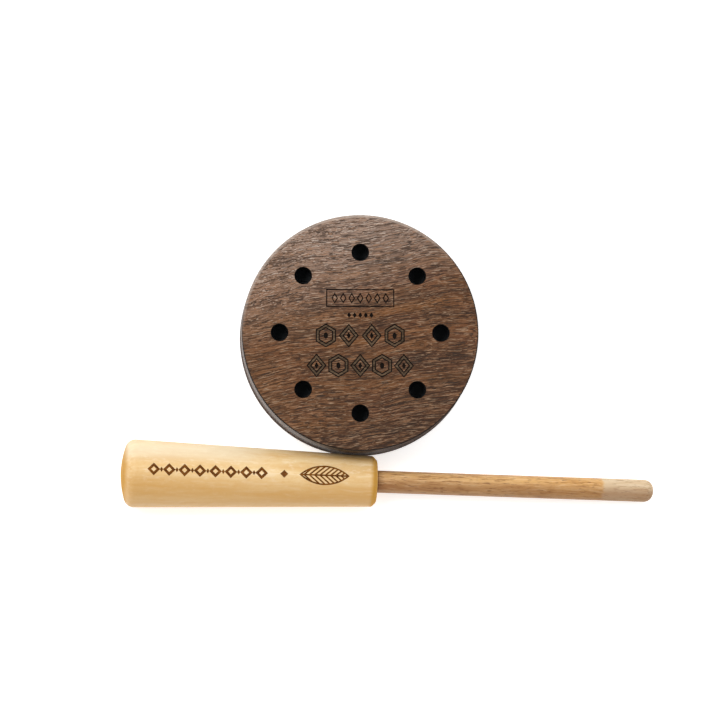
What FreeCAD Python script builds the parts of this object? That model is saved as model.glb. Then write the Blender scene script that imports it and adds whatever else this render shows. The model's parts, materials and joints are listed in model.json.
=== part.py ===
import FreeCAD, Part
import math
import os

from FreeCAD import Placement, Rotation, Vector

# A round friction turkey call ("pot call") and its striker, laid out for display.
# The pot lies on its playing-side rim with its sound holes up. The origin is the centre
# of that rim's plane, z = 0, and the pot's axis is Z. The striker lies beside the pot,
# on the same plane, towards -Y, with its tip towards +X. All sizes are in millimetres.

# Pot
POT_DIAMETER = 88.9
POT_HEIGHT = 25.4
FLOOR_THICKNESS = 6.4
CHAMBER_DIAMETER = 77.0
PEDESTAL_DIAMETER = 28.0
FACE_EDGE_ROUND = 0.4
RIM_EDGE_ROUND = 1.0
CHAMBER_ROUND = 2.0
HOLE_COUNT = 8
HOLE_DIAMETER = 6.35
HOLE_CIRCLE_RADIUS = 30.3
HOLE_EDGE_CHAMFER = 0.2

# Playing surface and sound board, both discs set into the pot from below
SURFACE_DIAMETER = 82.55
SURFACE_THICKNESS = 2.4
SURFACE_INSET = 0.8
SURFACE_RADIAL_GAP = 0.3
LEDGE_INNER_SETBACK = 0.4
DISC_EDGE_CHAMFER = 0.3
SOUND_BOARD_DIAMETER = 69.85
SOUND_BOARD_THICKNESS = 2.4
SOUND_BOARD_DEPTH = 8.0
GLUE_THICKNESS = 0.3
GLUE_EDGE_SETBACK = 1.0

# Ornament cut into the pot's face: recessed rings with deeper outlines
RING_STROKE = 1.5
RING_RECESS = 0.25
OUTLINE_WIDTH = 0.42
OUTLINE_RECESS = 0.55
FRAME_SIZE = (25.6, 6.8)
FRAME_Y = 13.0
FRAME_FIGURES = 7
FRAME_FIGURE_SIZE = (2.5, 4.2)
FRAME_PITCH = 3.2
BEAD_Y = 6.6
BEAD_COUNT = 5
BEAD_SIZE = (1.5, 2.2)
BEAD_PITCH = 2.1
UPPER_ROW = ("hexagon", "rhombus", "rhombus", "hexagon")
UPPER_ROW_Y = -1.1
UPPER_PITCH = 8.6
LOWER_ROW = ("rhombus", "hexagon", "rhombus", "hexagon", "rhombus")
LOWER_ROW_Y = -12.4
LOWER_PITCH = 8.2
FIGURE_SIZE = (7.6, 9.0)
CORE_SIZE = (1.5, 2.6)

# Striker: a tapered handle and a dowel glued into a socket in its front end
HANDLE_LENGTH = 96.3
BUTT_DIAMETER = 26.0
FRONT_DIAMETER = 19.0
BUTT_DOME_RADIUS = 33.0
BUTT_EDGE_ROUND = 3.8
FRONT_CHAMFER = 1.6
FRONT_EDGE_ROUND = 1.2
STRIKER_LENGTH = 201.0
DOWEL_DIAMETER = 8.4
TIP_ROUND = 3.6
SOCKET_DIAMETER = 7.7
SOCKET_DEPTH = 33.0
TENON_DIAMETER = 7.4

# Ornament cut into the upper side of the handle, distances measured from the butt
BAND_RECESS = 0.2
BAND_SIDE_SHIFT = 0.9
BAND_START = 11.7
BAND_PITCH = 5.8
BAND_FIGURES = 8
BAND_FIGURE_SIZE = (4.8, 4.8)
BAND_STROKE = 1.0
BAND_BEAD_SIZE = (1.2, 2.0)
SPACER_X = 60.8
SPACER_SIZE = (3.0, 3.0)
FEATHER_START = 66.5
FEATHER_LENGTH = 19.0
FEATHER_WIDTH = 7.4
FEATHER_STROKE = 0.6
BARB_PITCH = 2.0
BARB_SLANT_DEG = 50.0

# Lay-out of the striker beside the pot
STRIKER_YAW_DEG = -1.6
STRIKER_GAP = 0.3
BUTT_SETBACK = 88.0

POT_RADIUS = POT_DIAMETER / 2
BUTT_RADIUS = BUTT_DIAMETER / 2
FRONT_RADIUS = FRONT_DIAMETER / 2
TAPER = (BUTT_RADIUS - FRONT_RADIUS) / HANDLE_LENGTH
TAPER_ANGLE = math.atan(TAPER)
SURFACE_BACK = SURFACE_INSET + SURFACE_THICKNESS
LEDGE = SURFACE_BACK + GLUE_THICKNESS
SOUND_BOARD_BACK = SOUND_BOARD_DEPTH + SOUND_BOARD_THICKNESS
PEDESTAL_END = SOUND_BOARD_BACK + GLUE_THICKNESS
CHAMBER_TOP = POT_HEIGHT - FLOOR_THICKNESS
TOOL_MARGIN = 5.0


# Shared helpers

def polygon(points):
    """A closed wire through (x, y) points in the plane z = 0."""
    corners = [Vector(x, y, 0) for x, y in points]
    return Part.makePolygon(corners + corners[:1])


def revolve_about_z(points):
    """A solid of revolution about Z from a closed outline of (radius, z) points."""
    corners = [Vector(r, 0, z) for r, z in points]
    outline = Part.Face(Part.makePolygon(corners + corners[:1]))
    return outline.revolve(Vector(), Vector(0, 0, 1), 360)


def disc(diameter, low, high):
    return Part.makeCylinder(diameter / 2, high - low, Vector(0, 0, low))


def rod(diameter, start, end):
    """A cylinder along X."""
    return Part.makeCylinder(diameter / 2, end - start, Vector(start, 0, 0), Vector(1, 0, 0))


def circle_edges(solid, radius, centre):
    """The solid's circular edges with the given radius and centre."""
    found = []
    for edge in solid.Edges:
        curve = edge.Curve
        if not isinstance(curve, Part.Circle):
            continue
        if abs(curve.Radius - radius) < 1e-4 and curve.Center.distanceToPoint(centre) < 1e-4:
            found.append(edge)
    return found


def on_axis(z):
    return Vector(0, 0, z)


# Ornament figures, each a closed wire centred on the origin

def rhombus(width, height):
    return polygon([(width / 2, 0), (0, height / 2), (-width / 2, 0), (0, -height / 2)])


def hexagon(width, height):
    shoulder = height / 4
    return polygon([
        (0, height / 2), (-width / 2, shoulder), (-width / 2, -shoulder),
        (0, -height / 2), (width / 2, -shoulder), (width / 2, shoulder),
    ])


FIGURES = {"rhombus": rhombus, "hexagon": hexagon}


def inset(wire, distance):
    """The wire moved inwards by the distance, with its corners kept sharp."""
    sharp_corners = 2
    return wire.makeOffset2D(-distance, sharp_corners)


def ring_face(wire, stroke):
    return Part.Face(wire).cut(Part.Face(inset(wire, stroke)))


def sink(faces, top, depth):
    """Cutting solids under the faces, from above the height top down to the depth."""
    tools = []
    for face in faces:
        low = face.translated(Vector(0, 0, top - depth))
        tools.append(low.extrude(Vector(0, 0, depth + TOOL_MARGIN)))
    return tools


def row_offsets(count, pitch):
    return [(i - (count - 1) / 2) * pitch for i in range(count)]


# Pot

def pot_blank():
    pocket = SURFACE_DIAMETER / 2 + SURFACE_RADIAL_GAP
    chamber = CHAMBER_DIAMETER / 2
    pedestal = PEDESTAL_DIAMETER / 2
    blank = revolve_about_z([
        (pocket, 0), (POT_RADIUS, 0), (POT_RADIUS, POT_HEIGHT), (0, POT_HEIGHT),
        (0, PEDESTAL_END), (pedestal, PEDESTAL_END), (pedestal, CHAMBER_TOP),
        (chamber, CHAMBER_TOP), (chamber, LEDGE), (pocket, LEDGE),
    ])
    blank = blank.makeFillet(FACE_EDGE_ROUND, circle_edges(blank, POT_RADIUS, on_axis(POT_HEIGHT)))
    blank = blank.makeFillet(RIM_EDGE_ROUND, circle_edges(blank, POT_RADIUS, on_axis(0)))
    corners = circle_edges(blank, chamber, on_axis(CHAMBER_TOP))
    corners += circle_edges(blank, pedestal, on_axis(CHAMBER_TOP))
    return blank.makeFillet(CHAMBER_ROUND, corners)


def sound_hole(angle_deg):
    """One sound hole's cutter, with a small chamfer at the pot's face."""
    radius = HOLE_DIAMETER / 2
    drill = Part.makeCylinder(radius, POT_HEIGHT, Vector(0, 0, CHAMBER_TOP - TOOL_MARGIN))
    wide = radius + 2 * HOLE_EDGE_CHAMFER
    mouth = Part.makeCone(radius, wide, wide - radius, Vector(0, 0, POT_HEIGHT - HOLE_EDGE_CHAMFER))
    cutter = drill.fuse(mouth).translated(Vector(HOLE_CIRCLE_RADIUS, 0, 0))
    cutter.rotate(Vector(), Vector(0, 0, 1), angle_deg)
    return cutter


def figure_cutters(name, x, y):
    """A ring with a solid core: a shallow recess with a deeper line along each edge."""
    place = Vector(x, y, 0)
    outer = FIGURES[name](*FIGURE_SIZE).translated(place)
    inner = inset(outer, RING_STROKE)
    inner_line = Part.Face(inset(outer, RING_STROKE - OUTLINE_WIDTH)).cut(Part.Face(inner))
    core = Part.Face(FIGURES[name](*CORE_SIZE).translated(place))
    shallow = sink([ring_face(outer, RING_STROKE)], POT_HEIGHT, RING_RECESS)
    deep = sink([ring_face(outer, OUTLINE_WIDTH), inner_line, core], POT_HEIGHT, OUTLINE_RECESS)
    return shallow + deep


def frame_cutters():
    """A rectangular frame round a row of small rhombi."""
    width, height = FRAME_SIZE
    border = polygon([(-width / 2, -height / 2), (width / 2, -height / 2),
                      (width / 2, height / 2), (-width / 2, height / 2)])
    faces = [ring_face(border, OUTLINE_WIDTH).translated(Vector(0, FRAME_Y, 0))]
    for x in row_offsets(FRAME_FIGURES, FRAME_PITCH):
        figure = rhombus(*FRAME_FIGURE_SIZE).translated(Vector(x, FRAME_Y, 0))
        faces.append(ring_face(figure, OUTLINE_WIDTH))
    return sink(faces, POT_HEIGHT, OUTLINE_RECESS)


def bead_cutters():
    faces = []
    for x in row_offsets(BEAD_COUNT, BEAD_PITCH):
        faces.append(Part.Face(rhombus(*BEAD_SIZE).translated(Vector(x, BEAD_Y, 0))))
    return sink(faces, POT_HEIGHT, OUTLINE_RECESS)


def face_ornament():
    cutters = frame_cutters() + bead_cutters()
    for name, x in zip(UPPER_ROW, row_offsets(len(UPPER_ROW), UPPER_PITCH)):
        cutters += figure_cutters(name, x, UPPER_ROW_Y)
    for name, x in zip(LOWER_ROW, row_offsets(len(LOWER_ROW), LOWER_PITCH)):
        cutters += figure_cutters(name, x, LOWER_ROW_Y)
    return cutters


def pot_body():
    holes = [sound_hole(i * 360 / HOLE_COUNT) for i in range(HOLE_COUNT)]
    return pot_blank().cut(holes + face_ornament())


def playing_surface():
    plate = disc(SURFACE_DIAMETER, SURFACE_INSET, SURFACE_BACK)
    edge = circle_edges(plate, SURFACE_DIAMETER / 2, on_axis(SURFACE_INSET))
    return plate.makeChamfer(DISC_EDGE_CHAMFER, edge)


def surface_adhesive():
    """A ring of glue between the playing surface's back and the pot's ledge."""
    outer = disc(SURFACE_DIAMETER - 2 * LEDGE_INNER_SETBACK, SURFACE_BACK, LEDGE)
    inner = disc(CHAMBER_DIAMETER + 2 * LEDGE_INNER_SETBACK, SURFACE_BACK, LEDGE)
    return outer.cut(inner)


def sound_board():
    plate = disc(SOUND_BOARD_DIAMETER, SOUND_BOARD_DEPTH, SOUND_BOARD_BACK)
    radius = SOUND_BOARD_DIAMETER / 2
    edges = circle_edges(plate, radius, on_axis(SOUND_BOARD_DEPTH))
    edges += circle_edges(plate, radius, on_axis(SOUND_BOARD_BACK))
    return plate.makeChamfer(DISC_EDGE_CHAMFER, edges)


def sound_board_adhesive():
    """A pad of glue between the sound board's back and the pedestal's end."""
    return disc(PEDESTAL_DIAMETER - 2 * GLUE_EDGE_SETBACK, SOUND_BOARD_BACK, PEDESTAL_END)


# Striker, modelled along X with the middle of its butt at the origin, then laid in place

def handle_blank():
    """The tapered turning: a shallow dome at the butt and a softened chamfer at the front."""
    along = Vector(1, 0, 0)
    cone = Part.makeCone(BUTT_RADIUS, FRONT_RADIUS, HANDLE_LENGTH, Vector(), along)
    dome = Part.makeSphere(BUTT_DOME_RADIUS, Vector(BUTT_DOME_RADIUS, 0, 0))
    tail = rod(BUTT_DIAMETER + TOOL_MARGIN, BUTT_DOME_RADIUS, HANDLE_LENGTH + TOOL_MARGIN)
    blank = cone.common(dome.fuse(tail))
    butt_edge = [e for e in blank.Edges if isinstance(e.Curve, Part.Circle)
                 and 0 < e.Curve.Center.x < BUTT_EDGE_ROUND]
    blank = blank.makeFillet(BUTT_EDGE_ROUND, butt_edge)
    front_edge = circle_edges(blank, FRONT_RADIUS, Vector(HANDLE_LENGTH, 0, 0))
    blank = blank.makeChamfer(FRONT_CHAMFER, front_edge)
    chamfer_edges = [e for e in blank.Edges if isinstance(e.Curve, Part.Circle)
                     and e.Curve.Center.x > HANDLE_LENGTH - 2 * FRONT_CHAMFER]
    return blank.makeFillet(FRONT_EDGE_ROUND, chamfer_edges)


def leaf(width, height):
    """Two arcs that meet in a point at the top and at the bottom."""
    top, bottom = Vector(0, height / 2, 0), Vector(0, -height / 2, 0)
    right = Part.Arc(bottom, Vector(width / 2, 0, 0), top).toShape()
    left = Part.Arc(top, Vector(-width / 2, 0, 0), bottom).toShape()
    return Part.Wire([right, left])


def feather_face():
    """A feather: a pointed outline, a quill along it and slanted barbs on both sides."""
    vane = leaf(FEATHER_WIDTH, FEATHER_LENGTH)
    half = FEATHER_STROKE / 2
    reach = FEATHER_LENGTH / 2
    lines = [Part.Face(polygon([(-half, -reach), (half, -reach), (half, reach), (-half, reach)]))]
    slant = math.radians(BARB_SLANT_DEG)
    rise = math.tan(slant) * FEATHER_WIDTH / 2
    thickness = FEATHER_STROKE / math.cos(slant)
    for y in row_offsets(int(FEATHER_LENGTH / BARB_PITCH), BARB_PITCH):
        root = y - rise / 2
        for edge in (-FEATHER_WIDTH / 2, FEATHER_WIDTH / 2):
            lines.append(Part.Face(polygon([
                (0, root), (edge, root + rise), (edge, root + rise + thickness), (0, root + thickness),
            ])))
    barbs = lines[0].fuse(lines[1:]).common(Part.Face(inset(vane, half)))
    feather = ring_face(vane, FEATHER_STROKE).fuse(barbs).removeSplitter()
    feather.rotate(Vector(), Vector(0, 0, 1), -90)
    return feather


def band_faces():
    """The handle's ornament as flat faces, x from the butt and y across the handle."""
    faces = []
    for i in range(BAND_FIGURES):
        x = BAND_START + i * BAND_PITCH
        figure = ring_face(rhombus(*BAND_FIGURE_SIZE), BAND_STROKE)
        faces.append(figure.translated(Vector(x, BAND_SIDE_SHIFT, 0)))
        if i > 0:
            bead = Part.Face(rhombus(*BAND_BEAD_SIZE))
            faces.append(bead.translated(Vector(x - BAND_PITCH / 2, BAND_SIDE_SHIFT, 0)))
    spacer = Part.Face(rhombus(*SPACER_SIZE))
    faces.append(spacer.translated(Vector(SPACER_X, BAND_SIDE_SHIFT, 0)))
    feather_centre = FEATHER_START + FEATHER_LENGTH / 2
    faces.append(feather_face().translated(Vector(feather_centre, BAND_SIDE_SHIFT, 0)))
    return faces


def band_cutters():
    """Prisms over the ornament, stopped at a cone just under the handle's surface."""
    core = Part.makeCone(BUTT_RADIUS - BAND_RECESS, FRONT_RADIUS - BAND_RECESS, HANDLE_LENGTH,
                         Vector(), Vector(1, 0, 0))
    up = Vector(0, 0, BUTT_RADIUS + TOOL_MARGIN)
    return [face.extrude(up).cut(core) for face in band_faces()]


def striker_handle():
    socket = rod(SOCKET_DIAMETER, HANDLE_LENGTH - SOCKET_DEPTH, HANDLE_LENGTH + TOOL_MARGIN)
    return handle_blank().cut([socket] + band_cutters())


def striker_dowel():
    """The dowel: a rounded tip, a shoulder against the handle and a tenon in its socket."""
    shaft = rod(DOWEL_DIAMETER, HANDLE_LENGTH, STRIKER_LENGTH)
    tip_edge = circle_edges(shaft, DOWEL_DIAMETER / 2, Vector(STRIKER_LENGTH, 0, 0))
    tenon = rod(TENON_DIAMETER, HANDLE_LENGTH - SOCKET_DEPTH + GLUE_THICKNESS, HANDLE_LENGTH)
    return shaft.makeFillet(TIP_ROUND, tip_edge).fuse(tenon)


def dowel_adhesive():
    """The glue that fills the socket round the tenon and under its end."""
    socket_floor = HANDLE_LENGTH - SOCKET_DEPTH
    fill = rod(SOCKET_DIAMETER, socket_floor, HANDLE_LENGTH)
    return fill.cut(rod(TENON_DIAMETER, socket_floor + GLUE_THICKNESS, HANDLE_LENGTH + TOOL_MARGIN))


def striker_placement():
    """The handle's cone lies on the plane z = 0, a small gap away from the pot's wall."""
    yaw = math.radians(STRIKER_YAW_DEG)
    along = Vector(math.cos(yaw), math.sin(yaw), 0)
    to_pot = Vector(-math.sin(yaw), math.cos(yaw), 0)
    radius_beside_pot = BUTT_RADIUS - BUTT_SETBACK * TAPER
    offset = POT_RADIUS + STRIKER_GAP + radius_beside_pot
    butt = along * -BUTT_SETBACK - to_pot * offset
    butt.z = BUTT_RADIUS * math.cos(TAPER_ANGLE)
    turn = Rotation(Vector(0, 0, 1), STRIKER_YAW_DEG)
    lean = Rotation(Vector(0, 1, 0), math.degrees(TAPER_ANGLE))
    return Placement(butt, turn.multiply(lean))


POT_PARTS = (pot_body, playing_surface, surface_adhesive, sound_board, sound_board_adhesive)
STRIKER_PARTS = (striker_handle, striker_dowel, dowel_adhesive)

os.makedirs("parts", exist_ok=True)
for make in POT_PARTS + STRIKER_PARTS:
    shape = make()
    if make in STRIKER_PARTS:
        shape.Placement = striker_placement()
    shape.exportStep(f"parts/{make.__name__}.step")
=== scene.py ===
import json
import math
from types import SimpleNamespace

import bpy
from mathutils import Matrix, Vector


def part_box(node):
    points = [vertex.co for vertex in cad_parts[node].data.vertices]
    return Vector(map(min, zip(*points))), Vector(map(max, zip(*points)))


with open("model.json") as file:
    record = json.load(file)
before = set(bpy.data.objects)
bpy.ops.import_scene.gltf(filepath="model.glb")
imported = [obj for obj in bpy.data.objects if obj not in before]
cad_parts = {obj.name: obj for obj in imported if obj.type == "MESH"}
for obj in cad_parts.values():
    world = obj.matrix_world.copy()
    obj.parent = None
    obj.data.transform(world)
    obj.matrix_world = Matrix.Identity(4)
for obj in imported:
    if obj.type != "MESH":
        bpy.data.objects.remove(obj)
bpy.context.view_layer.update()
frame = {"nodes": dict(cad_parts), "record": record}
nodes = frame["nodes"]
scene = bpy.context.scene
MM = 0.001


# Places taken from the frame

def mount(name):
    """A mount's point and axis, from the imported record."""
    for entry in frame["record"]["mounts"]:
        if entry["name"] == name:
            return Vector(entry["pos_m"]), Vector(entry["axis"]).normalized()


def span_along(name, origin, axis):
    """The lowest and highest distance of a node's points along an axis."""
    distances = [(vertex.co - origin).dot(axis) for vertex in nodes[name].data.vertices]
    return min(distances), max(distances)


def upright_frame(point, axis):
    """A frame at the point with X along the axis and Z as near upright as can be."""
    side = Vector((0, 0, 1)).cross(axis).normalized()
    turn = Matrix((axis, side, axis.cross(side))).transposed().to_4x4()
    return Matrix.Translation(point) @ turn


POT_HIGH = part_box("pot_body")[1]
POT_RADIUS = POT_HIGH.x
FACE_Z = POT_HIGH.z
SURFACE_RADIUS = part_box("playing_surface")[1].x
SHAFT_POINT, SHAFT_AXIS = mount("striker_shaft")
HANDLE_START, HANDLE_END = span_along("striker_handle", SHAFT_POINT, SHAFT_AXIS)
STRIKER_TIP = span_along("striker_dowel", SHAFT_POINT, SHAFT_AXIS)[1]
STRIKER_FRAME = upright_frame(SHAFT_POINT + SHAFT_AXIS * HANDLE_START, SHAFT_AXIS)
HANDLE_LENGTH = HANDLE_END - HANDLE_START
STRIKER_LENGTH = STRIKER_TIP - HANDLE_START


# Camera, nearly overhead and from a long way off, at the photograph's angle

VIEW_AZIMUTH = -25.0
VIEW_ELEVATION = 84.15
VIEW_DISTANCE = 3.6
FRAME_WIDTH = 0.270
SENSOR_WIDTH = 36.0
CLIP_NEAR, CLIP_FAR = 0.1, 60.0
AIM = Vector((-0.0001, -0.0103, FACE_Z))


def add_camera():
    """A camera that looks at the aim from the view's angle and distance."""
    azimuth, elevation = math.radians(VIEW_AZIMUTH), math.radians(VIEW_ELEVATION)
    back = Vector((math.sin(azimuth) * math.cos(elevation),
                   -math.cos(azimuth) * math.cos(elevation), math.sin(elevation)))
    up = (Vector((0, 1, 0)) - back * back.y).normalized()
    right = up.cross(back)
    data = bpy.data.cameras.new("camera")
    data.sensor_width = SENSOR_WIDTH
    data.lens = SENSOR_WIDTH * VIEW_DISTANCE / FRAME_WIDTH
    data.clip_start, data.clip_end = CLIP_NEAR, CLIP_FAR
    camera = bpy.data.objects.new("camera", data)
    turn = Matrix((right, up, back)).transposed().to_4x4()
    camera.matrix_world = Matrix.Translation(AIM + back * VIEW_DISTANCE) @ turn
    scene.collection.objects.link(camera)
    scene.camera = camera


# Colours and nodes

def srgb(red, green, blue):
    """A colour given in 0 to 255 display values, as the linear colour that Blender takes."""
    def linear(value):
        value /= 255
        return value / 12.92 if value <= 0.04045 else ((value + 0.055) / 1.055) ** 2.4
    return linear(red), linear(green), linear(blue), 1.0


class Graph:
    """The node tree of a material or of the world. Most methods add nodes and return the result."""

    def __init__(self, owner, shader="Principled BSDF", **constants):
        owner.use_nodes = True
        self.tree = owner.node_tree
        self.shader = self.tree.nodes[shader]
        for socket, value in constants.items():
            self.shader.inputs[socket.replace("_", " ")].default_value = value

    def feed(self, socket, value):
        """Links another node's output to the socket, or sets the socket to a constant."""
        if isinstance(value, bpy.types.NodeSocket):
            self.tree.links.new(value, socket)
        else:
            socket.default_value = value

    def surface(self, name, value):
        """Feeds one of the shader's sockets."""
        self.feed(self.shader.inputs[name], value)

    def add(self, kind, inputs, output=0, **settings):
        """A new node with these inputs and settings; returns one of its outputs."""
        node = self.tree.nodes.new(kind)
        for name, value in settings.items():
            setattr(node, name, value)
        for key, value in inputs.items():
            self.feed(node.inputs[key], value)
        return node.outputs[output]

    def position(self):
        """The point in the part's own frame, in millimetres."""
        point = self.add("ShaderNodeTexCoord", {}, "Object")
        return self.scale(point, (1 / MM,) * 3)

    def scale(self, vector, factors):
        """The vector times the factors, axis by axis."""
        return self.add("ShaderNodeVectorMath", {0: vector, 1: factors}, operation="MULTIPLY")

    def plus(self, one, other):
        """The sum of two vectors."""
        return self.add("ShaderNodeVectorMath", {0: one, 1: other}, operation="ADD")

    def into_frame(self, vector, matrix):
        """The point as the given frame sees it, in millimetres."""
        place = matrix.to_translation() / MM
        inputs = {"Vector": vector, "Location": place, "Rotation": matrix.to_euler()}
        return self.add("ShaderNodeMapping", inputs, vector_type="TEXTURE")

    def split(self, vector):
        """The vector's three coordinates."""
        node = self.add("ShaderNodeSeparateXYZ", {0: vector}).node
        return node.outputs[0], node.outputs[1], node.outputs[2]

    def join(self, x, y, z):
        """The vector with these coordinates."""
        return self.add("ShaderNodeCombineXYZ", {0: x, 1: y, 2: z})

    def math(self, operation, one, other=0.0):
        """One of Blender's operations on two numbers. The next four are the usual ones."""
        return self.add("ShaderNodeMath", {0: one, 1: other}, operation=operation)

    def times(self, one, other):
        return self.math("MULTIPLY", one, other)

    def sum(self, one, other):
        return self.math("ADD", one, other)

    def minus(self, one, other):
        return self.math("SUBTRACT", one, other)

    def larger(self, one, other):
        return self.math("MAXIMUM", one, other)

    def fade(self, value, start, end, low=0.0, high=1.0, shape="SMOOTHSTEP"):
        """Goes from low to high as the value goes from start to end, and stays there beyond."""
        inputs = {"Value": value, "From Min": start, "From Max": end, "To Min": low, "To Max": high}
        return self.add("ShaderNodeMapRange", inputs, interpolation_type=shape)

    def noise(self, vector, scale, detail=2.0, roughness=0.5, output=0):
        """Noise round 0.5, in patches about 1 / scale long."""
        inputs = {"Vector": vector, "Scale": scale, "Detail": detail, "Roughness": roughness}
        return self.add("ShaderNodeTexNoise", inputs, output)

    def wander(self, vector, scale, reach, detail=1.0):
        """The vector moved about by smooth noise, by up to the reach on each axis."""
        cloud = self.noise(vector, scale, detail, output="Color")
        centred = self.plus(cloud, (-0.5,) * 3)
        return self.plus(vector, self.scale(centred, reach))

    def mix(self, factor, one, other):
        """A blend of two colours: the first at factor 0, the other at factor 1."""
        return self.add("ShaderNodeMix", {0: factor, 6: one, 7: other}, 2, data_type="RGBA")

    def tint(self, base, colour, value, start, end, most):
        """The base, turning to the colour as the value goes from start to end."""
        return self.mix(self.fade(value, start, end, 0.0, most), base, colour)

    def ramp(self, value, stops):
        """A colour read from stops, each of them a place from 0 to 1 and its colour."""
        node = self.add("ShaderNodeValToRGB", {0: value}).node
        elements = node.color_ramp.elements
        while len(elements) < len(stops):
            elements.new(0.5)
        for element, (place, colour) in zip(elements, stops):
            element.position = place
            element.color = colour
        return node.outputs[0]

    def bump(self, height, distance, strength):
        """A normal tilted by the height, whose full range stands for the distance in metres."""
        inputs = {"Height": height, "Distance": distance, "Strength": strength}
        return self.add("ShaderNodeBump", inputs, "Normal")

    def radius(self, across, up):
        """The distance from an axis, from the two coordinates across it."""
        return self.math("SQRT", self.sum(self.times(across, across), self.times(up, up)))


def new_material(name, **constants):
    """A material and the graph of its nodes, with some of its shader's sockets set."""
    material = bpy.data.materials.new(name)
    return material, Graph(material, **constants)


# Walnut. Lengths are in millimetres, and a pair is where a fade starts and where it ends.

# How the grain runs: its turn from the striker's direction, and how long each pattern is drawn out
GRAIN_TURN = math.radians(8.0)
GROWTH_STRETCH = (0.03, 1.0, 1.0)
FIBRE_STRETCH = (0.045, 1.0, 1.0)
DASH_STRETCH = (0.06, 1.0, 1.0)
PORE_SHIFT = (31.0, 7.0, 3.0)

# Measured in from the wall
WALL_BAND = (0.3, 0.05)
NEAR_EDGE_SHADE_BAND = (0.55, 0.2)
RIM_HIGHLIGHT_BAND = (1.3, 0.6)
FACE_BAND = (3.0, 4.0)

# Measured down from the face
HOLE_MOUTH = (0.02, 0.07)
RING_RECESS = (0.06, 0.16)
OUTLINE_RECESS = (0.30, 0.42)
INSIDE_DEPTH = (0.5, 0.6)
RIM_HIGHLIGHT_DEPTH = (0.8, 0.3)
NEAR_EDGE_SHADE_DEPTH = (2.5, 1.0)

# Measured out from the pot's axis
ORNAMENT_REACH = (25.0, 24.0)
CHAMBER_REACH = (SURFACE_RADIUS / MM + 0.5, SURFACE_RADIUS / MM + 0.4)

# Measured up the wall
WALL_SHADE_HEIGHT = (20.0, 4.0)
WORN_WALL = (17.0, 5.0)

# Measured across the face. Far is up in the photograph and a little to the left.
FAR_SLANT = 0.35
NEAR_RIGHT_SLANT = 0.5
PAINTED_SHEEN_SPAN = (2.0, 46.0)
RIM_HIGHLIGHT_SPAN = (12.0, 36.0)
NEAR_EDGE_SHADE_SPAN = (0.0, 30.0)
PAINTED_SHADE_CORNER = (14.0, 44.0)
WARM_LEFT = (-5.0, -38.0)
WORN_RIGHT = (-10.0, 25.0)


def pot_place(g):
    """Where a point is on the pot, by the directions that the wood varies in."""
    point = g.position()
    x, y, z = g.split(point)
    out = g.radius(x, y)
    inward = g.minus(POT_RADIUS / MM, out)
    return SimpleNamespace(
        point=point, x=x, y=y, z=z, out=out, inward=inward,
        depth=g.minus(FACE_Z / MM, z),
        far=g.minus(y, g.times(x, FAR_SLANT)),
        near_right=g.minus(g.times(x, NEAR_RIGHT_SLANT), y),
        wall=g.fade(inward, *WALL_BAND),
    )


def walnut_grain(g, at):
    """Growth rings, fine streaks, light flecks and open pores, all drawn out along the grain."""
    turned = g.add("ShaderNodeVectorRotate", {"Vector": at.point, "Angle": -GRAIN_TURN},
                   rotation_type="Z_AXIS")
    curl = g.fade(g.minus(at.y, at.x), 20.0, 60.0, low=0.5, high=1.5)
    swirled = g.wander(turned, 0.03, (0, 6.0, 6.0))
    rippled = g.wander(swirled, 0.38, g.join(0.0, curl, curl), detail=2.0)
    growth = g.scale(rippled, GROWTH_STRETCH)
    fibre = g.scale(rippled, FIBRE_STRETCH)
    dash = g.scale(rippled, DASH_STRETCH)

    rings = g.noise(growth, 0.2, detail=2.0, roughness=0.5)
    streaks = g.noise(fibre, 2.5, detail=3.0, roughness=0.75)
    flecks = g.noise(dash, 3.2, detail=2.0, roughness=0.6)
    pores = g.noise(g.plus(dash, PORE_SHIFT), 2.6, detail=2.0, roughness=0.6)
    ring_line = g.fade(g.math("PINGPONG", g.times(rings, 10.0), 0.5), 0.14, 0.03)
    ring_line = g.times(ring_line, g.fade(flecks, 0.62, 0.45))
    open_pores = g.larger(g.fade(pores, 0.44, 0.38, high=0.8), g.times(ring_line, 0.75))
    return SimpleNamespace(rings=rings, streaks=streaks, flecks=flecks, open_pores=open_pores)


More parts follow.
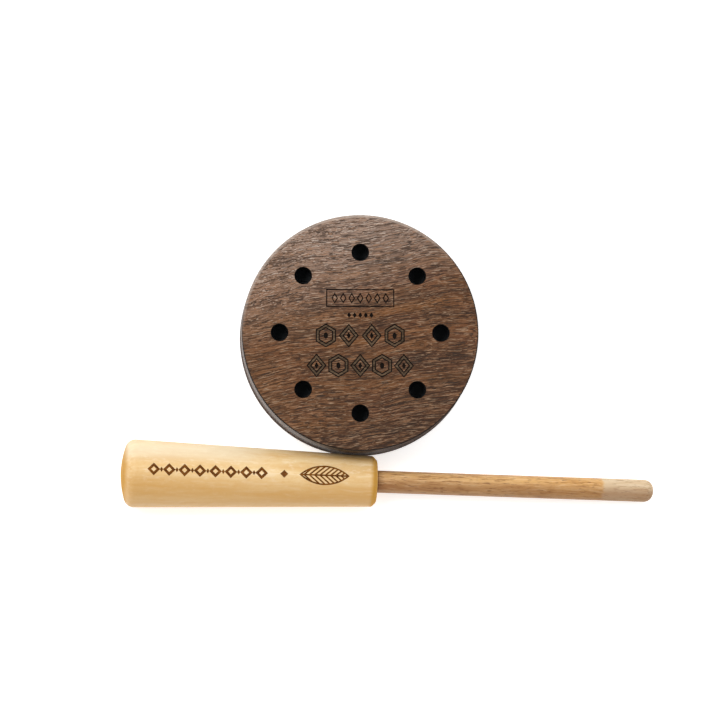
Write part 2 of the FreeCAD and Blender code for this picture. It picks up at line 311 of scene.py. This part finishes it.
def walnut_wood(g, at, grain):
    """The bare wood's colour: greyed on the far side by a painted sheen, darkest at the near right
    edge as painted shade.
    """
    wood = g.ramp(grain.rings, [(0.34, srgb(66, 36, 10)), (0.5, srgb(88, 51, 18)),
                                (0.66, srgb(108, 66, 27))])
    reddish = g.noise(g.scale(at.point, (0.5, 1.0, 1.0)), 0.11, detail=2.0)
    wood = g.tint(wood, srgb(100, 55, 26), reddish, 0.45, 0.65, most=0.4)
    # Painted sheen: the face turns grey towards its far side, standing in for the lamps'
    # reflection.
    painted_sheen = g.times(g.fade(at.far, *PAINTED_SHEEN_SPAN, high=0.88), g.minus(1.0, at.wall))
    wood = g.mix(painted_sheen, wood, srgb(149, 126, 111))
    wood = g.tint(wood, srgb(126, 84, 48), at.x, *WARM_LEFT, most=0.3)
    # Painted shade, darkest towards the near right.
    wood = g.tint(wood, srgb(46, 24, 9), at.near_right, *PAINTED_SHADE_CORNER, most=0.5)
    wood = g.tint(wood, srgb(146, 104, 70), grain.streaks, 0.50, 0.66, most=0.75)
    wood = g.tint(wood, srgb(40, 22, 6), grain.streaks, 0.47, 0.36, most=0.6)
    # Light flecks, partly the grain's own pale fibres and partly painted highlights on the pore
    # edges, greyer and paler where the sheen is painted.
    fleck_highlight_colour = g.mix(painted_sheen, srgb(152, 124, 98), srgb(208, 192, 180))
    wood = g.tint(wood, fleck_highlight_colour, grain.flecks, 0.56, 0.65, most=0.75)
    wood = g.mix(grain.open_pores, wood, srgb(34, 18, 5))
    # The wall is a darker tone all over, and darker still towards the base as painted shade.
    wall_tone_and_shade = g.times(at.wall, g.fade(at.z, *WALL_SHADE_HEIGHT, low=0.45, high=0.7))
    return g.mix(wall_tone_and_shade, wood, srgb(24, 15, 10))


def walnut_marks(g, at):
    """How far a point lies in the ornament, a hole's mouth, the far rim's painted highlight, the
    near edge's painted shade, or inside.
    """
    ornament = g.fade(at.out, *ORNAMENT_REACH)
    on_face = g.fade(at.inward, *FACE_BAND)
    mouth = g.times(g.fade(at.depth, *HOLE_MOUTH), on_face)
    # Painted highlight: a pale band on the rounded rim, on the far side only.
    rim_highlight = g.times(g.fade(at.inward, *RIM_HIGHLIGHT_BAND), g.fade(at.far, *RIM_HIGHLIGHT_SPAN, high=0.5))
    # Painted shade: a dark line along the face's edge and down the wall, on the near side.
    edge = g.times(g.fade(at.inward, *NEAR_EDGE_SHADE_BAND), g.fade(at.depth, *NEAR_EDGE_SHADE_DEPTH))
    return SimpleNamespace(
        ring=g.times(g.fade(at.depth, *RING_RECESS), ornament),
        outline=g.times(g.fade(at.depth, *OUTLINE_RECESS), ornament),
        mouth=g.times(mouth, g.minus(1.0, ornament)),
        rim_highlight=g.times(rim_highlight, g.fade(at.depth, *RIM_HIGHLIGHT_DEPTH)),
        edge=g.times(edge, g.fade(at.far, *NEAR_EDGE_SHADE_SPAN, low=1.0, high=0.0)),
        inside=g.times(g.fade(at.depth, *INSIDE_DEPTH), g.fade(at.out, *CHAMBER_REACH)),
    )


def walnut():
    """Dark, open-grained walnut, blackened inside and its ornament burnt, with painted shade along
    its near edge and a painted highlight on its far rim.
    """
    material, g = new_material("walnut", Specular_IOR_Level=0.2, Coat_Roughness=0.2)
    at = pot_place(g)
    grain = walnut_grain(g, at)
    marks = walnut_marks(g, at)

    wood = walnut_wood(g, at, grain)
    charred = g.ramp(grain.streaks, [(0.38, srgb(48, 38, 28)), (0.62, srgb(104, 88, 70))])
    wood = g.mix(g.times(marks.ring, 0.85), wood, charred)
    wood = g.mix(g.times(marks.outline, 0.95), wood, srgb(18, 8, 2))
    wood = g.mix(marks.mouth, wood, srgb(12, 9, 7))
    # Painted highlight on the far rim.
    wood = g.mix(marks.rim_highlight, wood, srgb(190, 174, 162))
    # Painted shade along the near edge.
    wood = g.mix(marks.edge, wood, srgb(22, 10, 4))
    wood = g.mix(marks.inside, wood, srgb(5, 4, 4))
    g.surface("Base Color", wood)

    height = g.minus(g.times(g.sum(grain.streaks, grain.flecks), 0.5), grain.open_pores)
    g.surface("Normal", g.bump(height, distance=0.12 * MM, strength=0.8))
    worn = g.times(at.wall, g.larger(g.fade(at.z, *WORN_WALL), g.fade(at.x, *WORN_RIGHT)))
    dull = g.larger(g.larger(marks.inside, worn), g.larger(marks.mouth, marks.ring))
    g.surface("Coat Weight", g.fade(g.larger(dull, marks.edge), 0, 1, low=0.15, high=0.0))
    satin = g.fade(grain.streaks, 0.3, 0.7, low=0.6, high=0.42)
    g.surface("Roughness", g.sum(satin, g.times(dull, 0.4)))
    return material


# Maple. Lengths are in millimetres, and X runs along the striker from its butt.

# Measured from the handle's butt
BUTT_BAND = (2.6, 0.6)
CREAM_AND_HIGHLIGHT_SPAN = (62.0, 40.0)
TAPER_STRETCHES = ((12.0, 16.0), (76.0, 80.0))

# Measured back from the handle's front
FRONT_BAND = (3.2, 1.2)
FRONT_FACE = (0.4, 0.15)
JOINT_FACE = (0.5, 0.2)

# Measured from both ends
ORNAMENT_MARGIN = (6.0, 7.0)

# Measured out from the axis
JOINT_RADIUS = (5.4, 4.2)

# Measured in from the taper's surface
BURN_DEPTH = (0.10, 0.17)

# Measured from the axis towards the pot
SHADED_SIDE = (3.5, -7.0)
CREAM_AND_HIGHLIGHT_SIDE = (2.0, 8.0)
CREAM_AND_HIGHLIGHT_EDGE = (12.5, 9.0)


def handle_taper():
    """The slope and the starting radius of the handle's taper, read off two short stretches."""
    to_local = STRIKER_FRAME.inverted()
    points = [to_local @ vertex.co / MM for vertex in nodes["striker_handle"].data.vertices]
    (wide, first), (slim, second) = [
        max((math.hypot(point.y, point.z), point.x) for point in points if low < point.x < high)
        for low, high in TAPER_STRETCHES]
    slope = (slim - wide) / (second - first)
    return slope, wide - slope * first


def maple_wood(g, point, x, y):
    """The bare maple's colour, and its patterns: cream by the butt, partly a cream tone and partly
    a painted highlight, and darker on the near side as painted shade.
    """
    grain = g.scale(g.wander(point, 0.06, (0, 3.0, 3.0)), (0.06, 1.0, 1.0))
    broad = g.noise(grain, 0.22, detail=2.0)
    lines = g.noise(grain, 0.8, detail=3.0, roughness=0.6)
    mottle = g.noise(g.scale(point, (0.4, 1.0, 1.0)), 0.7, detail=3.0, roughness=0.7)

    wood = g.ramp(broad, [(0.35, srgb(220, 179, 118)), (0.62, srgb(234, 204, 153))])
    wood = g.tint(wood, srgb(250, 234, 204), lines, 0.52, 0.74, most=0.35)
    wood = g.tint(wood, srgb(216, 172, 112), lines, 0.46, 0.28, most=0.4)
    wood = g.tint(wood, srgb(250, 234, 206), mottle, 0.5, 0.75, most=0.35)
    wood = g.tint(wood, srgb(218, 170, 106), mottle, 0.47, 0.32, most=0.35)
    wood = g.tint(wood, srgb(204, 154, 86), y, *SHADED_SIDE, most=0.65)
    # Paler towards the far top by the butt: partly a cream tone of the wood, partly a painted
    # highlight.
    cream = g.times(g.fade(x, *CREAM_AND_HIGHLIGHT_SPAN), g.fade(y, *CREAM_AND_HIGHLIGHT_SIDE))
    cream = g.times(cream, g.fade(y, *CREAM_AND_HIGHLIGHT_EDGE, low=0.25, high=0.6))
    return g.mix(cream, wood, srgb(230, 216, 188)), lines, mottle


def maple():
    """Pale maple under varnish, amber at its turned ends, its ornament burnt in."""
    material, g = new_material("maple", Specular_IOR_Level=0.2, Coat_Weight=0.03,
                               Coat_Roughness=0.25)
    point = g.into_frame(g.position(), STRIKER_FRAME)
    x, y, z = g.split(point)
    radius = g.radius(y, z)
    back = g.minus(HANDLE_LENGTH / MM, x)
    wood, lines, mottle = maple_wood(g, point, x, y)

    ends = g.larger(g.fade(x, *BUTT_BAND), g.fade(back, *FRONT_BAND))
    amber = g.fade(back, *FRONT_FACE, low=0.82, high=0.5)
    wood = g.mix(g.times(ends, amber), wood, srgb(190, 136, 34))
    lathe_mark = g.fade(g.noise(g.join(0.0, 0.0, radius), 1.3), 0.5, 0.68, high=0.35)
    wood = g.mix(g.times(ends, lathe_mark), wood, srgb(146, 92, 40))
    # Painted shade: a dark ring round the dowel on the handle's front face.
    joint_shade = g.times(g.fade(back, *JOINT_FACE), g.fade(radius, *JOINT_RADIUS))
    wood = g.mix(g.times(joint_shade, 0.85), wood, srgb(92, 54, 24))

    slope, start = handle_taper()
    depth = g.minus(g.sum(g.times(x, slope), start), radius)
    between_ends = g.times(g.fade(x, *ORNAMENT_MARGIN), g.fade(back, *ORNAMENT_MARGIN))
    burn = g.times(g.fade(depth, *BURN_DEPTH), between_ends)
    scorched = g.ramp(mottle, [(0.35, srgb(80, 40, 2)), (0.65, srgb(126, 76, 22))])
    g.surface("Base Color", g.mix(burn, wood, scorched))
    g.surface("Normal", g.bump(g.sum(lines, mottle), distance=0.02 * MM, strength=0.4))
    varnish = g.fade(lines, 0.3, 0.7, low=0.5, high=0.4)
    g.surface("Roughness", g.sum(varnish, g.times(g.larger(burn, ends), 0.4)))
    return material


# Hickory. Lengths are in millimetres. The spans are measured along the striker from its butt, the
# bare tip back from its end, the root out of the handle, and the shaded side from the dowel's axis.

HANDLE_SHADOW_SPAN = (112.0, 97.0)
AMBER_SPAN = (110.0, 180.0)
BARE_TIP = 19.4
BARE_EDGE_REACH = 0.9
ROOT_SHADE_LENGTH = (0.8, 0.3)
DOWEL_SHADED_SIDE = (2.2, -2.0)


def hickory():
    """Varnished hickory, brown with darker streaks, sanded bare at the tip."""
    material, g = new_material("hickory", Specular_IOR_Level=0.18)
    point = g.into_frame(g.position(), STRIKER_FRAME)
    x, y, _ = g.split(point)
    bent = g.wander(point, 0.08, (0, 1.6, 1.6))
    grain = g.scale(bent, (0.09, 1.0, 1.0))
    broad = g.noise(grain, 0.38, detail=2.0)
    lines = g.noise(grain, 1.5, detail=3.0, roughness=0.7)
    pores = g.noise(g.scale(bent, (0.14, 1.0, 1.0)), 2.2, detail=2.0)

    varnished = g.ramp(broad, [(0.35, srgb(184, 136, 86)), (0.62, srgb(212, 168, 112))])
    # Painted shadow of the handle: darker brown towards the handle.
    varnished = g.tint(varnished, srgb(156, 106, 72), x, *HANDLE_SHADOW_SPAN, most=0.2)
    varnished = g.tint(varnished, srgb(216, 166, 98), x, *AMBER_SPAN, most=0.5)
    varnished = g.tint(varnished, srgb(232, 196, 150), lines, 0.51, 0.66, most=0.6)
    varnished = g.tint(varnished, srgb(140, 94, 54), lines, 0.48, 0.34, most=0.65)
    bare = g.ramp(broad, [(0.35, srgb(206, 178, 142)), (0.62, srgb(220, 198, 166))])
    bare = g.tint(bare, srgb(160, 126, 88), lines, 0.48, 0.35, most=0.7)

    bare_start = STRIKER_LENGTH / MM - BARE_TIP
    edge = g.fade(lines, 0.3, 0.7,
                  low=bare_start - BARE_EDGE_REACH, high=bare_start + BARE_EDGE_REACH)
    at_tip = g.fade(g.minus(x, edge), -0.5, 0.5)
    wood = g.mix(at_tip, varnished, bare)
    wood = g.tint(wood, srgb(146, 102, 66), y, *DOWEL_SHADED_SIDE, most=0.65)
    dark_pore = g.times(g.fade(pores, 0.42, 0.32), g.fade(at_tip, 0, 1, low=0.7, high=0.4))
    wood = g.mix(dark_pore, wood, srgb(112, 74, 46))
    # Painted shade where the dowel comes out of the handle.
    from_handle = g.minus(x, HANDLE_LENGTH / MM)
    g.surface("Base Color", g.tint(wood, srgb(90, 50, 24), from_handle, *ROOT_SHADE_LENGTH, most=0.7))
    g.surface("Roughness", g.fade(at_tip, 0, 1, low=0.4, high=0.75))
    g.surface("Normal", g.bump(g.minus(lines, dark_pore), distance=0.05 * MM, strength=0.7))
    return material


# Slate and glue

SCRATCH_STRETCH = (0.02, 1.0, 0.0)


def slate(name, scratched):
    """Fine dark slate; the playing surface is scratched one way by conditioning."""
    material, g = new_material(name, Roughness=0.8, Specular_IOR_Level=0.3)
    point = g.position()
    grit = g.noise(point, 3.0, detail=4.0, roughness=0.7)
    cloud = g.noise(point, 0.06, detail=3.0)
    stone = g.ramp(cloud, [(0.35, srgb(62, 66, 70)), (0.65, srgb(84, 88, 92))])
    stone = g.tint(stone, srgb(118, 122, 126), grit, 0.4, 0.75, most=0.35)
    height = grit
    if scratched:
        drawn_out = g.scale(g.wander(point, 0.05, (0, 1.2, 0)), SCRATCH_STRETCH)
        line = g.fade(g.noise(drawn_out, 3.2), 0.58, 0.68)
        stone = g.mix(g.times(line, 0.55), stone, srgb(150, 153, 156))
        height = g.minus(grit, line)
    g.surface("Base Color", stone)
    g.surface("Normal", g.bump(height, distance=0.03 * MM, strength=0.6))
    return material


def glue():
    """Cured glue, cream and slightly cloudy."""
    material, g = new_material("glue", Roughness=0.35, Specular_IOR_Level=0.5,
                               Subsurface_Weight=0.1)
    point = g.position()
    blotch = g.noise(point, 0.5, detail=3.0)
    cream = g.ramp(blotch, [(0.35, srgb(196, 176, 132)), (0.65, srgb(222, 208, 172))])
    g.surface("Base Color", cream)
    g.surface("Normal", g.bump(blotch, distance=0.05 * MM, strength=0.5))
    return material


def dress(name, material):
    """Gives a CAD node its material."""
    mesh = nodes[name].data
    mesh.materials.clear()
    mesh.materials.append(material)


def dress_nodes():
    """Gives every CAD node its material."""
    glue_material = glue()
    dress("pot_body", walnut())
    dress("playing_surface", slate("playing_slate", scratched=True))
    dress("sound_board", slate("sound_board_slate", scratched=False))
    dress("striker_handle", maple())
    dress("striker_dowel", hickory())
    for name in ("surface_adhesive", "sound_board_adhesive", "dowel_adhesive"):
        dress(name, glue_material)


# Studio: a white floor under soft light

FLOOR_SIZE = 40.0
FLOOR_DROP = 0.0002
KEY_LIGHT = {"place": (-0.42, 0.22, 0.90), "size": 0.50, "power": 5.0}
FILL_LIGHT = {"place": (0.45, 0.20, 0.95), "size": 0.60, "power": 2.6}

# How bright the surroundings are, by height and from the near side to the far side
SKY_BY_HEIGHT = {"start": 0.4, "end": 1.0, "low": 0.85, "high": 0.55}
SKY_BY_SIDE = {"start": -0.7, "end": 0.7, "low": 0.6, "high": 1.0}


def add_floor():
    """A large white floor just under the object."""
    mesh = bpy.data.meshes.new("floor")
    half = FLOOR_SIZE / 2
    corners = [(-half, -half), (half, -half), (half, half), (-half, half)]
    mesh.from_pydata([(x, y, -FLOOR_DROP) for x, y in corners], [], [(0, 1, 2, 3)])
    floor = bpy.data.objects.new("floor", mesh)
    scene.collection.objects.link(floor)
    material, _ = new_material(
        "floor_white", Base_Color=(0.85, 0.85, 0.85, 1), Roughness=0.9, Specular_IOR_Level=0.1,
        Emission_Color=(1, 1, 1, 1), Emission_Strength=0.6)
    mesh.materials.append(material)


def add_area_light(name, place, size, power):
    """A round lamp at the place, turned towards the origin."""
    data = bpy.data.lights.new(name, "AREA")
    data.shape = "DISK"
    data.size = size
    data.energy = power
    light = bpy.data.objects.new(name, data)
    light.location = place
    light.rotation_euler = Vector(place).to_track_quat("Z", "Y").to_euler()
    scene.collection.objects.link(light)


def add_sky():
    """Soft white light all round, dimmer overhead and on the near side."""
    world = bpy.data.worlds.new("studio")
    g = Graph(world, "Background", Color=(1, 1, 1, 1))
    _, side, height = g.split(g.add("ShaderNodeTexCoord", {}, "Generated"))
    by_height = g.fade(height, shape="LINEAR", **SKY_BY_HEIGHT)
    by_side = g.fade(side, shape="LINEAR", **SKY_BY_SIDE)
    g.surface("Strength", g.times(by_height, by_side))
    scene.world = world


def add_studio():
    """The floor, the sky and two lamps, shown without any colour grading."""
    add_floor()
    add_sky()
    add_area_light("key", **KEY_LIGHT)
    add_area_light("fill", **FILL_LIGHT)
    scene.view_settings.view_transform = "Standard"


add_camera()
dress_nodes()
add_studio()
